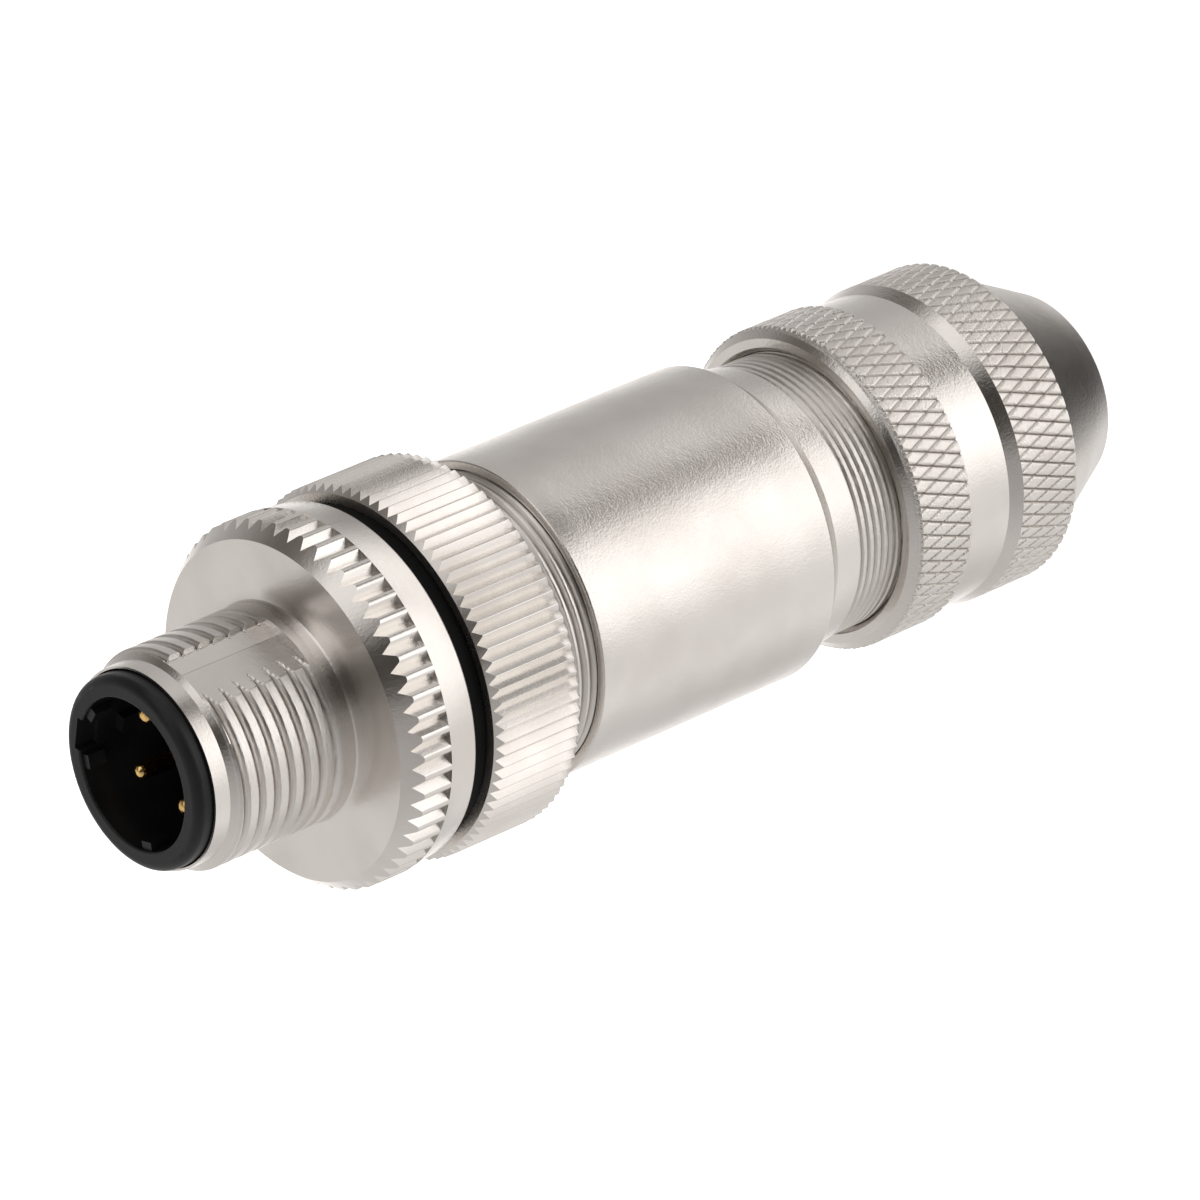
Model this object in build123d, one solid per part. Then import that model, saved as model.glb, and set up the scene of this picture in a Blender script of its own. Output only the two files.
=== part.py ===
from build123d import *
from math import cos, pi, radians, sin, tan
import os

# A straight, screened, field-wired plug connector: a coupling screw with an outer thread turns
# on a four-pole contact carrier, a knurled locking ring draws that carrier into the housing
# sleeve, and a clamp nut presses a cage, a seal and a shield ring together at the cable end.
#
# Millimetres. The connector stands on the end face of its clamp nut: the origin is the centre
# of that face, and +Z runs along the connector towards the mating face. Angles are measured
# about Z from +X.

# Clearances
RUNNING_GAP = 0.08      # radial, between pieces that turn on each other
THREAD_GAP = 0.05       # radial, between a male and a female thread's plain stand-in
FACE_GAP = 0.05         # axial, between flat faces of pieces that turn on each other
SEAT_GAP = 0.03         # radial, between pieces that are pushed together
STOP_GAP = 0.1          # axial, left when a screwed joint is fully tight
FREE_GAP = 0.3          # between pieces that pass each other without touching

# Outer radii of the three threads
REAR_THREAD_R = 7.8     # housing sleeve in the clamp nut
NECK_R = 8.4            # locking ring in the housing sleeve
BARREL_R = 6.0          # coupling screw in the mating socket, M12 x 1

SLEEVE_R = NECK_R + 0.5

# Clamp nut, outside
NOSE_END_R = 5.5
NOSE_END_ROUND = 0.5
NOSE_R = SLEEVE_R - 0.3
NOSE_LENGTH = 6.1
REAR_GRIP_R = SLEEVE_R + 0.2
REAR_GRIP_LENGTH = 4.0
GRIP_CHAMFER = 0.15
WAIST_CONE_LENGTH = 0.8
WAIST_R = SLEEVE_R
WAIST_LENGTH = 3.1
FRONT_GRIP_R = SLEEVE_R + 0.25
FRONT_GRIP_LENGTH = 3.6
NUT_FRONT_CHAMFER = 0.55

# Clamp nut, inside
CABLE_R = 4.2
CABLE_WALL = 2.2
CABLE_EDGE = 0.25
CONE_SMALL_R = 4.7
CONE_LOW = 2.4
CONE_LENGTH = 6.2
CONE_LARGE_R = REAR_THREAD_R - 1.2
NUT_THREAD_LENGTH = 8.25
NUT_MOUTH_R = REAR_THREAD_R + 0.3

# Housing sleeve
NUT_GAP = 2.95          # thread that shows between the clamp nut and the sleeve's collar
REAR_THREAD_LENGTH = 7.9
REAR_THREAD_CHAMFER = 0.4
COLLAR_LENGTH = 1.7
COLLAR_R = 8.0
SHOULDER_LENGTH = 1.1
SHOULDER_ROUND = 0.15
SLEEVE_LENGTH = 16.4
SLEEVE_EDGE = 0.12
GLAND_BORE_R = 6.9
SLEEVE_BORE_R = NECK_R - 0.8
FRONT_THREAD_DEPTH = 6.0
KEYWAY_R = SLEEVE_BORE_R + 0.55
KEYWAY_WIDTH = 1.6
KEYWAY_RUNOUT = 0.5     # keyway carried on into the front thread's bore

# Locking ring
RING_GAP = 2.8          # thread that shows between the sleeve and the locking ring
RING_R = 10.3
RING_LENGTH = 5.7
RING_CHAMFER = 0.4
RING_GROOVE_COUNT = 88
RING_FIRST_GROOVE = 3.35     # degrees, a groove's bottom
RING_GROOVE_DEPTH = 0.25
RING_LAND_SHARE = 0.16
NECK_LENGTH = 5.8
NECK_CHAMFER = 0.3
NECK_WALL = 0.9
LIP_LENGTH = 1.8

# Spacer washer
WASHER_SPACE = 1.1
WASHER_R = RING_R - 0.95

# Coupling screw
BAND_R = RING_R - 0.4
BAND_LENGTH = 1.9
BAND_ROUND = 0.2
DISC_R = RING_R - 0.2
DISC_LENGTH = 1.8
DISC_FACE_R = DISC_R - 0.8
DISC_CONE_LENGTH = 1.0
DISC_GROOVE_COUNT = 58
DISC_FIRST_GROOVE = 0.5      # degrees, a groove's bottom
DISC_GROOVE_DEPTH = 0.43
DISC_LAND_SHARE = 0.32
BARREL_LENGTH = 9.0
BARREL_LAND = 1.2       # plain stretch between the thread and the disc
LEAD_LENGTH = 1.1
LEAD_R = 5.5
FLAT_ANGLE = -50.0      # crease of the milled flat
FLAT_CREASE_R = 5.5
FLAT_LONG_ARC = 22.0    # degrees from the crease to where the wide facet leaves the barrel
FLAT_SHORT_ARC = 13.0   # the same for the narrow facet
OVERCUT = 1.3           # how far the cutter passes the edges of the flat

# Contact carrier
RIM_STAND = 1.0         # how far the rim stands out of the barrel
RIM_R = 5.3
RIM_ROUND = 0.5
CAVITY_R = 4.15
CAVITY_EDGE = 0.12
CAVITY_DEPTH = 9.0
NECK_JOURNAL_R = 6.5
SEAL_GROOVE_WIDTH = 1.2
SEAL_GROOVE_DEPTH = 0.9
SEAL_GROOVE_HEIGHT = 3.6   # above the locking ring's neck end
BODY_ABOVE_NECK_END = 0.7   # carrier's body starts this far above the locking ring's neck end
CORE_R = 5.2
TERMINAL_LENGTH = 10.5
WEB_WIDTH = 1.3
KEY_R = KEYWAY_R - 0.2
KEY_TOP_BELOW_NECK = 0.8
CODING_ANGLE = 45.0
CODING_WIDTH = 0.9
CODING_HEIGHT = 0.6
CODING_START = 2.4
KEYSLOT_WIDTH = 1.9
KEYSLOT_DEPTH = 0.25
KEYSLOT_LENGTH = 1.2
LUG_ANGLES = (23.0, 67.0, 157.0)
LUG_WIDTH = 0.75
LUG_HEIGHT = 0.45
LUG_START = 0.2
LUG_LENGTH = 1.1
ROOTING = 0.3           # how far a key or lug reaches into the wall that carries it

# Contact pins and their screws
POLE_COUNT = 4
PIN_CIRCLE_R = 2.55
PIN_R = 0.5
PIN_TIP_ROUND = 0.42
PIN_RECESS = 1.95       # tip below the rim
SHANK_R = 0.75
BARB_R = 0.95
BARB_LENGTH = 1.2
CLAMP_R = 1.4
CLAMP_LENGTH = 8.0
CLAMP_RECESS = 1.1      # clamp barrel's end inside the carrier's end
WIRE_R = 0.8
WIRE_DEPTH = 5.6
SCREW_R = 0.7
SCREW_LENGTH = 1.9
SCREW_HEIGHT = 3.4      # screw's axis above the clamp barrel's end
SCREW_SLOT = 0.25
SCREW_SLOT_DEPTH = 0.4
SCREW_HOLE_R = 1.0

# Retaining clip between the carrier and the coupling screw
CLIP_HEIGHT = 1.35      # clip's underside above the coupling screw's rear face
CLIP_THICKNESS = 0.7
CLIP_INNER_R = 4.8
CLIP_OUTER_R = 6.1
CLIP_OPENING = 50.0     # degrees
CLIP_PLAY = 0.2

# Cable end
THRUST_THICKNESS = 0.47
THRUST_OUTER_R = REAR_THREAD_R - 0.2
CAGE_FLANGE_LENGTH = 1.2
CAGE_FLANGE_R = 6.75
CAGE_BORE_R = 5.2
CAGE_TIP_BORE_R = 3.75
CAGE_SHELF = 0.4        # inner step that the seal's tail sits on
CAGE_SLOT_COUNT = 8
CAGE_SLOT_WIDTH = 0.7
CAGE_SOLID = 0.8        # unslotted stretch below the flange
SEAL_LENGTH = 4.8
SEAL_R = 6.6
SEAL_TAIL_LENGTH = 3.4
SEAL_BORE_R = 3.5
SHIELD_LENGTH = 1.8
SHIELD_R = 6.7
SHIELD_BORE_R = 4.3
SHIELD_TIP_R = 5.4
SPACER_LENGTH = 2.8
SPACER_FLANGE = 0.6
SPACER_BORE_R = 5.6

# Heights, from the nose end to the mating face
rear_grip_low = NOSE_LENGTH
rear_grip_high = rear_grip_low + REAR_GRIP_LENGTH
waist_low = rear_grip_high + WAIST_CONE_LENGTH
front_grip_low = waist_low + WAIST_LENGTH
front_grip_high = front_grip_low + FRONT_GRIP_LENGTH
nut_front = front_grip_high + NUT_FRONT_CHAMFER
nut_step = nut_front - NUT_THREAD_LENGTH
collar_low = nut_front + NUT_GAP
collar_high = collar_low + COLLAR_LENGTH
shoulder_high = collar_high + SHOULDER_LENGTH
sleeve_front = shoulder_high + SLEEVE_LENGTH
ring_low = sleeve_front + RING_GAP
ring_front = ring_low + RING_LENGTH
coupling_rear = ring_front + WASHER_SPACE
disc_low = coupling_rear + BAND_LENGTH
disc_cone_low = disc_low + DISC_LENGTH
disc_front = disc_cone_low + DISC_CONE_LENGTH
barrel_front = disc_front + BARREL_LENGTH
rim = barrel_front + RIM_STAND

sleeve_rear = collar_low - REAR_THREAD_LENGTH
bore_step = shoulder_high + STOP_GAP
front_thread_end = sleeve_front - FRONT_THREAD_DEPTH
neck_end = ring_low - NECK_LENGTH
neck_bore_r = NECK_R - NECK_WALL
lip_low = ring_front - LIP_LENGTH
cavity_floor = rim - CAVITY_DEPTH
carrier_body_low = neck_end + BODY_ABOVE_NECK_END
carrier_body_r = neck_bore_r - RUNNING_GAP
carrier_shoulder = lip_low - FACE_GAP
carrier_rear = carrier_body_low - TERMINAL_LENGTH
carrier_step = coupling_rear - FACE_GAP
seal_groove_low = neck_end + SEAL_GROOVE_HEIGHT
barrel_bore_r = RIM_R + RUNNING_GAP
clip_low = coupling_rear + CLIP_HEIGHT
clamp_end = carrier_rear + CLAMP_RECESS
clamp_top = clamp_end + CLAMP_LENGTH
screw_height = clamp_end + SCREW_HEIGHT
nut_bore_r = REAR_THREAD_R + THREAD_GAP
thrust_low = nut_step + SEAT_GAP
flange_low = thrust_low + THRUST_THICKNESS
flange_high = flange_low + CAGE_FLANGE_LENGTH
seal_high = flange_high + SEAL_LENGTH
shield_high = seal_high + SHIELD_LENGTH
cone_high = CONE_LOW + CONE_LENGTH


def outline_face(points):
    """A face from (radius, height) points; a third value rounds that corner."""
    edges = []
    entries = []
    exits = []
    for index, point in enumerate(points):
        corner = Vector(*point[:2])
        back = (Vector(*points[index - 1][:2]) - corner).normalized()
        ahead = (Vector(*points[(index + 1) % len(points)][:2]) - corner).normalized()
        rounding = point[2] if len(point) > 2 else 0
        half_angle = radians(back.get_angle(ahead)) / 2
        entries.append(corner + back * (rounding / tan(half_angle)))
        exits.append(corner + ahead * (rounding / tan(half_angle)))
        if rounding:
            inward = (back + ahead).normalized()
            middle = corner + inward * (rounding / sin(half_angle) - rounding)
            edges.append(ThreePointArc(entries[-1], middle, exits[-1]))
    edges += [Line(exits[i - 1], entries[i]) for i in range(len(points))]
    return make_face(edges)


def turned(*points):
    """A turned piece from its closed half outline."""
    return revolve(Plane.XZ * outline_face(points), Axis.Z)


def ring(inner_r, outer_r, low, high):
    """A plain ring between two heights."""
    return turned((inner_r, low), (outer_r, low), (outer_r, high), (inner_r, high))


def rod(radius, low, high):
    """A plain round rod on the Z axis."""
    return Pos(0, 0, low) * extrude(Circle(radius), high - low)


def bar(near, far, width, low, high):
    """A bar that points along +X, from one radius to another."""
    return Pos((near + far) / 2, 0, (low + high) / 2) * Box(far - near, width, high - low)


def radial_rod(radius, near, far, height):
    """A round rod along +X at a height."""
    return Pos(near, 0, height) * Rot(0, 90, 0) * extrude(Circle(radius), far - near)


def turn(angle, piece):
    """The piece turned about the connector's axis."""
    return Rot(0, 0, angle) * piece


def polar(radius, angle):
    """A point in the XY plane from a radius and degrees."""
    return (radius * cos(radians(angle)), radius * sin(radians(angle)))


def groove_cutter(count, first, land_r, depth, land_share, low, high):
    """What a straight knurl takes away: everything outside a ring of pointed valleys.

    The flanks go on above the lands until each ridge is half as wide as its land.
    """
    pitch = 360 / count
    ridge = land_share * pitch
    over_r = land_r + depth * ridge / (pitch - ridge) / 2
    outline = []
    for tooth in range(count):
        bottom = first + tooth * pitch
        outline.append(polar(land_r - depth, bottom))
        outline.append(polar(over_r, bottom + pitch / 2 - ridge / 4))
        outline.append(polar(over_r, bottom + pitch / 2 + ridge / 4))
    kept = make_face(Polyline(*outline, close=True))
    return Pos(0, 0, low) * extrude(Circle(land_r + 2 * depth) - kept, high - low)


def milled_flat():
    """The two facets milled along the barrel, which meet in a shallow crease."""
    long_end = polar(BARREL_R, -FLAT_LONG_ARC)
    short_end = polar(BARREL_R, FLAT_SHORT_ARC)
    crease = (FLAT_CREASE_R, 0)
    outside = 2 * BARREL_R - FLAT_CREASE_R
    long_far = (crease[0] + (long_end[0] - crease[0]) * OVERCUT, long_end[1] * OVERCUT)
    short_far = (crease[0] + (short_end[0] - crease[0]) * OVERCUT, short_end[1] * OVERCUT)
    section = make_face(
        Polyline(crease, long_far, (outside, long_far[1]), (outside, short_far[1]), short_far, close=True)
    )
    low = disc_front + BARREL_LAND
    return turn(FLAT_ANGLE, Pos(0, 0, low) * extrude(section, barrel_front - low + 1))


def coupling_screw():
    """The threaded barrel and its knurled disc, one turned piece."""
    groove_low = clip_low - CLIP_PLAY
    groove_high = clip_low + CLIP_THICKNESS + CLIP_PLAY
    groove_r = CLIP_OUTER_R + CLIP_PLAY
    blank = turned(
        (barrel_bore_r + CLIP_PLAY, coupling_rear),
        (BAND_R, coupling_rear, BAND_ROUND),
        (BAND_R, disc_low),
        (DISC_R, disc_low),
        (DISC_R, disc_cone_low),
        (DISC_FACE_R, disc_front),
        (BARREL_R, disc_front),
        (BARREL_R, barrel_front - LEAD_LENGTH),
        (LEAD_R, barrel_front),
        (barrel_bore_r, barrel_front),
        (barrel_bore_r, groove_high),
        (groove_r, groove_high),
        (groove_r, groove_low),
        (barrel_bore_r, groove_low),
        (barrel_bore_r, coupling_rear + CLIP_PLAY),
    )
    knurl = groove_cutter(
        DISC_GROOVE_COUNT, DISC_FIRST_GROOVE, DISC_R, DISC_GROOVE_DEPTH, DISC_LAND_SHARE,
        disc_low, disc_front + 1,
    )
    return blank - knurl - milled_flat()


def retaining_clip():
    """The open ring that snaps into the carrier's groove and holds the coupling screw."""
    clip = ring(CLIP_INNER_R, CLIP_OUTER_R, clip_low, clip_low + CLIP_THICKNESS)
    half = CLIP_OPENING / 2
    reach = 2 * CLIP_OUTER_R
    wedge = make_face(Polyline((0, 0), polar(reach, -half), polar(reach, half), close=True))
    return clip - Pos(0, 0, clip_low - 1) * extrude(wedge, CLIP_THICKNESS + 2)


def spacer_washer():
    """The black ring that shows between the coupling screw and the locking ring."""
    return ring(
        NECK_JOURNAL_R + SEAT_GAP, WASHER_R, ring_front + FACE_GAP, coupling_rear - FACE_GAP
    )


def locking_ring():
    """The knurled ring whose threaded neck screws into the housing sleeve."""
    blank = turned(
        (NECK_JOURNAL_R + RUNNING_GAP, ring_front),
        (RING_R - RING_CHAMFER, ring_front),
        (RING_R, ring_front - RING_CHAMFER),
        (RING_R, ring_low + GRIP_CHAMFER),
        (RING_R - GRIP_CHAMFER, ring_low),
        (NECK_R, ring_low),
        (NECK_R, neck_end + NECK_CHAMFER),
        (NECK_R - NECK_CHAMFER, neck_end),
        (neck_bore_r, neck_end),
        (neck_bore_r, lip_low),
        (NECK_JOURNAL_R + RUNNING_GAP, lip_low),
    )
    knurl = groove_cutter(
        RING_GROOVE_COUNT, RING_FIRST_GROOVE, RING_R, RING_GROOVE_DEPTH, RING_LAND_SHARE,
        ring_low - 1, ring_front + 1,
    )
    return blank - knurl


def carrier_blank():
    """The carrier's turned form, with its cavity and its seal groove."""
    seal_root = carrier_body_r - SEAL_GROOVE_DEPTH
    seal_groove_high = seal_groove_low + SEAL_GROOVE_WIDTH
    clip_root = CLIP_INNER_R - SEAT_GAP
    clip_high = clip_low + CLIP_THICKNESS
    return turned(
        (0, carrier_rear),
        (CORE_R, carrier_rear),
        (CORE_R, carrier_body_low),
        (carrier_body_r, carrier_body_low),
        (carrier_body_r, seal_groove_low),
        (seal_root, seal_groove_low),
        (seal_root, seal_groove_high),
        (carrier_body_r, seal_groove_high),
        (carrier_body_r, carrier_shoulder),
        (NECK_JOURNAL_R, carrier_shoulder),
        (NECK_JOURNAL_R, carrier_step),
        (RIM_R, carrier_step),
        (RIM_R, clip_low - SEAT_GAP),
        (clip_root, clip_low - SEAT_GAP),
        (clip_root, clip_high + SEAT_GAP),
        (RIM_R, clip_high + SEAT_GAP),
        (RIM_R, rim, RIM_ROUND),
        (CAVITY_R, rim, CAVITY_EDGE),
        (CAVITY_R, cavity_floor),
        (0, cavity_floor),
    )


def contact_carrier():
    """The moulded insert: cavity, coding key, lead-in lugs, webs between the terminals."""
    web = bar(CORE_R - 1, carrier_body_r, WEB_WIDTH, carrier_rear, carrier_body_low)
    key = bar(CORE_R - 1, KEY_R, WEB_WIDTH, carrier_rear, neck_end - KEY_TOP_BELOW_NECK)
    coding_key = bar(
        CAVITY_R - CODING_HEIGHT, CAVITY_R + ROOTING, CODING_WIDTH, cavity_floor, rim - CODING_START
    )
    lug_top = rim - LUG_START
    lug = bar(CAVITY_R - LUG_HEIGHT, CAVITY_R + ROOTING, LUG_WIDTH, lug_top - LUG_LENGTH, lug_top)
    added = [turn(CODING_ANGLE + pole * 360 / POLE_COUNT, web) for pole in range(POLE_COUNT)]
    added += [turn(CODING_ANGLE + side, key) for side in (0, 180)]
    added += [turn(CODING_ANGLE, coding_key)]
    added += [turn(angle, lug) for angle in LUG_ANGLES]
    key_slot = bar(
        CAVITY_R - 1, CAVITY_R + KEYSLOT_DEPTH, KEYSLOT_WIDTH, rim - KEYSLOT_LENGTH, rim + 1
    )
    removed = [turn(CODING_ANGLE, key_slot)]
    shank_hole = rod(SHANK_R + SEAT_GAP, clamp_top, cavity_floor + 1)
    barb_hole = rod(BARB_R + SEAT_GAP, clamp_top - 1, clamp_top + BARB_LENGTH + SEAT_GAP)
    clamp_hole = rod(CLAMP_R + SEAT_GAP, carrier_rear - 1, clamp_top + SEAT_GAP)
    contact_hole = Pos(PIN_CIRCLE_R, 0, 0) * (shank_hole + barb_hole + clamp_hole)
    screw_hole = radial_rod(SCREW_HOLE_R, PIN_CIRCLE_R, CORE_R + 1, screw_height)
    for pole in range(POLE_COUNT):
        removed += [turn(pole * 360 / POLE_COUNT, hole) for hole in (contact_hole, screw_hole)]
    return carrier_blank() + added - removed


def contact_pin(pole):
    """One turned contact: pin, shank and the clamp barrel for the wire."""
    tip = rim - PIN_RECESS
    pin = turned(
        (0, clamp_end),
        (CLAMP_R, clamp_end),
        (CLAMP_R, clamp_top),
        (BARB_R, clamp_top),
        (BARB_R, clamp_top + BARB_LENGTH),
        (SHANK_R, clamp_top + BARB_LENGTH),
        (SHANK_R, cavity_floor - SEAT_GAP),
        (PIN_R, cavity_floor - SEAT_GAP),
        (PIN_R, tip, PIN_TIP_ROUND),
        (0, tip),
    )
    wire_hole = rod(WIRE_R, clamp_end - 1, clamp_end + WIRE_DEPTH)
    screw_hole = radial_rod(SCREW_R + SEAT_GAP, 0, CLAMP_R + 1, screw_height)
    return turn(pole * 360 / POLE_COUNT, Pos(PIN_CIRCLE_R, 0, 0) * (pin - wire_hole - screw_hole))


def terminal_screw(pole):
    """One slotted screw that clamps the wire in its contact."""
    outer = PIN_CIRCLE_R + CLAMP_R + SCREW_LENGTH / 2
    screw = radial_rod(SCREW_R, outer - SCREW_LENGTH, outer, screw_height)
    slot = Pos(outer, 0, screw_height) * Box(2 * SCREW_SLOT_DEPTH, SCREW_SLOT, 4 * SCREW_R)
    return turn(pole * 360 / POLE_COUNT, screw - slot)


def carrier_seal():
    """The O-ring in the carrier's groove."""
    section_r = (SEAL_GROOVE_DEPTH + SEAT_GAP) / 2
    height = seal_groove_low + SEAL_GROOVE_WIDTH / 2
    return Pos(0, 0, height) * Torus(carrier_body_r + SEAT_GAP - section_r, section_r)


def housing_sleeve():
    """The smooth sleeve, threaded inside at the front and outside at the cable end."""
    blank = turned(
        (GLAND_BORE_R, sleeve_rear),
        (REAR_THREAD_R - REAR_THREAD_CHAMFER, sleeve_rear),
        (REAR_THREAD_R, sleeve_rear + REAR_THREAD_CHAMFER),
        (REAR_THREAD_R, collar_low),
        (COLLAR_R, collar_high),
        (SLEEVE_R, shoulder_high, SHOULDER_ROUND),
        (SLEEVE_R, sleeve_front, SLEEVE_EDGE),
        (NECK_R + THREAD_GAP, sleeve_front),
        (NECK_R + THREAD_GAP, front_thread_end),
        (SLEEVE_BORE_R, front_thread_end),
        (SLEEVE_BORE_R, bore_step),
        (GLAND_BORE_R, bore_step),
    )
    keyway = bar(GLAND_BORE_R, KEYWAY_R, KEYWAY_WIDTH, bore_step, front_thread_end + KEYWAY_RUNOUT)
    return blank - [turn(CODING_ANGLE + side, keyway) for side in (0, 180)]


def spacer_sleeve():
    """The flanged bush on the housing's inner step, which the shield ring meets."""
    return turned(
        (SPACER_BORE_R, bore_step - SPACER_LENGTH),
        (GLAND_BORE_R - SEAT_GAP, bore_step - SPACER_LENGTH),
        (GLAND_BORE_R - SEAT_GAP, bore_step),
        (SLEEVE_BORE_R - SEAT_GAP, bore_step),
        (SLEEVE_BORE_R - SEAT_GAP, bore_step + SPACER_FLANGE),
        (SPACER_BORE_R, bore_step + SPACER_FLANGE),
    )


def shield_ring():
    """The metal ring that spreads the cable's braid against the spacer."""
    return turned(
        (SHIELD_BORE_R, seal_high),
        (SHIELD_R, seal_high),
        (SHIELD_R, seal_high + SHIELD_LENGTH / 2),
        (SHIELD_TIP_R, shield_high),
        (SHIELD_BORE_R, shield_high),
    )


def gland_seal():
    """The rubber sleeve that closes round the cable, with its tail inside the cage."""
    return turned(
        (SEAL_BORE_R, flange_high - SEAL_TAIL_LENGTH),
        (CAGE_BORE_R - SEAT_GAP, flange_high - SEAL_TAIL_LENGTH),
        (CAGE_BORE_R - SEAT_GAP, flange_high),
        (SEAL_R, flange_high),
        (SEAL_R, seal_high),
        (SEAL_BORE_R, seal_high),
    )


def clamping_cage():
    """The slotted cage whose fingers the clamp nut's cone closes on the cable."""
    slope = (CONE_LARGE_R - CONE_SMALL_R) / CONE_LENGTH
    finger_r = CONE_LARGE_R - FREE_GAP
    tip = CONE_LOW + FREE_GAP
    bore_low = flange_high - SEAL_TAIL_LENGTH
    cage = turned(
        (CAGE_TIP_BORE_R, tip),
        (finger_r - slope * (cone_high - tip), tip),
        (finger_r, cone_high),
        (finger_r, flange_low),
        (CAGE_FLANGE_R, flange_low),
        (CAGE_FLANGE_R, flange_high),
        (CAGE_BORE_R, flange_high),
        (CAGE_BORE_R, bore_low),
        (CAGE_BORE_R - CAGE_SHELF, bore_low),
    )
    slot = bar(0, CONE_LARGE_R, CAGE_SLOT_WIDTH, tip - 1, flange_low - CAGE_SOLID)
    return cage - [turn(side * 360 / CAGE_SLOT_COUNT, slot) for side in range(CAGE_SLOT_COUNT)]


def thrust_washer():
    """The thin washer between the turning nut and the cage."""
    inner_r = CONE_LARGE_R - FREE_GAP + SEAT_GAP
    return ring(inner_r, THRUST_OUTER_R, thrust_low, flange_low)


def clamp_nut():
    """The nut with two grips, a waist and a conical nose."""
    return turned(
        (CABLE_R, 0, CABLE_EDGE),
        (NOSE_END_R, 0, NOSE_END_ROUND),
        (NOSE_R, NOSE_LENGTH),
        (REAR_GRIP_R - GRIP_CHAMFER, rear_grip_low),
        (REAR_GRIP_R, rear_grip_low + GRIP_CHAMFER),
        (REAR_GRIP_R, rear_grip_high),
        (WAIST_R, waist_low),
        (WAIST_R, front_grip_low),
        (FRONT_GRIP_R, front_grip_low),
        (FRONT_GRIP_R, front_grip_high),
        (FRONT_GRIP_R - NUT_FRONT_CHAMFER, nut_front),
        (NUT_MOUTH_R, nut_front),
        (nut_bore_r, nut_front - (NUT_MOUTH_R - nut_bore_r)),
        (nut_bore_r, nut_step),
        (CONE_LARGE_R, nut_step),
        (CONE_LARGE_R, cone_high),
        (CONE_SMALL_R, CONE_LOW),
        (CABLE_R, CABLE_WALL),
    )


pieces = {
    "contact_carrier": contact_carrier(),
    "coupling_screw": coupling_screw(),
    "retaining_clip": retaining_clip(),
    "spacer_washer": spacer_washer(),
    "locking_ring": locking_ring(),
    "carrier_seal": carrier_seal(),
    "housing_sleeve": housing_sleeve(),
    "spacer_sleeve": spacer_sleeve(),
    "shield_ring": shield_ring(),
    "gland_seal": gland_seal(),
    "clamping_cage": clamping_cage(),
    "thrust_washer": thrust_washer(),
    "clamp_nut": clamp_nut(),
}
for pole in range(POLE_COUNT):
    pieces[f"contact_pin_{pole + 1}"] = contact_pin(pole)
    pieces[f"terminal_screw_{pole + 1}"] = terminal_screw(pole)

os.makedirs("parts", exist_ok=True)
for node, piece in pieces.items():
    piece.label = node
    export_step(piece, f"parts/{node}.step")
    print(node, "volume", round(piece.volume, 1))
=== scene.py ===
# %% [markdown]
# # A field-wired plug connector in nickel, plastic and gold
#
# The real object is a screened plug of turned brass, nickel plated, with a black moulded insert
# and four gold pins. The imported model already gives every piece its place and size. This lesson
# dresses it: threads, knurls, plating, light and camera.

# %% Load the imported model
from math import atan2, cos, degrees, hypot, pi, radians, sin, tan

import bmesh
import bpy
from mathutils import Matrix, Vector


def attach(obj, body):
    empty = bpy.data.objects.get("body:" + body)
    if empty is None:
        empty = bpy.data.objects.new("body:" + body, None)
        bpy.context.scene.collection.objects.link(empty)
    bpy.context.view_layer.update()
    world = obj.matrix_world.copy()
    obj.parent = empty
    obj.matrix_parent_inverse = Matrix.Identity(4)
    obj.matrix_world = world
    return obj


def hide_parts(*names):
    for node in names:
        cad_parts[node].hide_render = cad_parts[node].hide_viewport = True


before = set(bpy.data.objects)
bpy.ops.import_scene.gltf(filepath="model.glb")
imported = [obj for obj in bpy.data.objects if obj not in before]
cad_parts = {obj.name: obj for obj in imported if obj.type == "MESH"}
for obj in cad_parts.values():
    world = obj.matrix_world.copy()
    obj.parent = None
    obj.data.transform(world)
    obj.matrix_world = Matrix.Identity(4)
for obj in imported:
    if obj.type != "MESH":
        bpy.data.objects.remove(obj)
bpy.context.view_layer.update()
MM = 0.001

# %% [markdown]
# ## Arithmetic on sockets
#
# A knurl, a thread and the grain of a plated surface are all rules, and a rule is easiest to read
# as a formula. One could place every Math node by hand, or write the rule in Python for each
# vertex. Here a small class wraps a socket, so that the plus, minus and times of Python add the
# nodes. The same class serves geometry trees and materials, because both use the same Math node.

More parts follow.
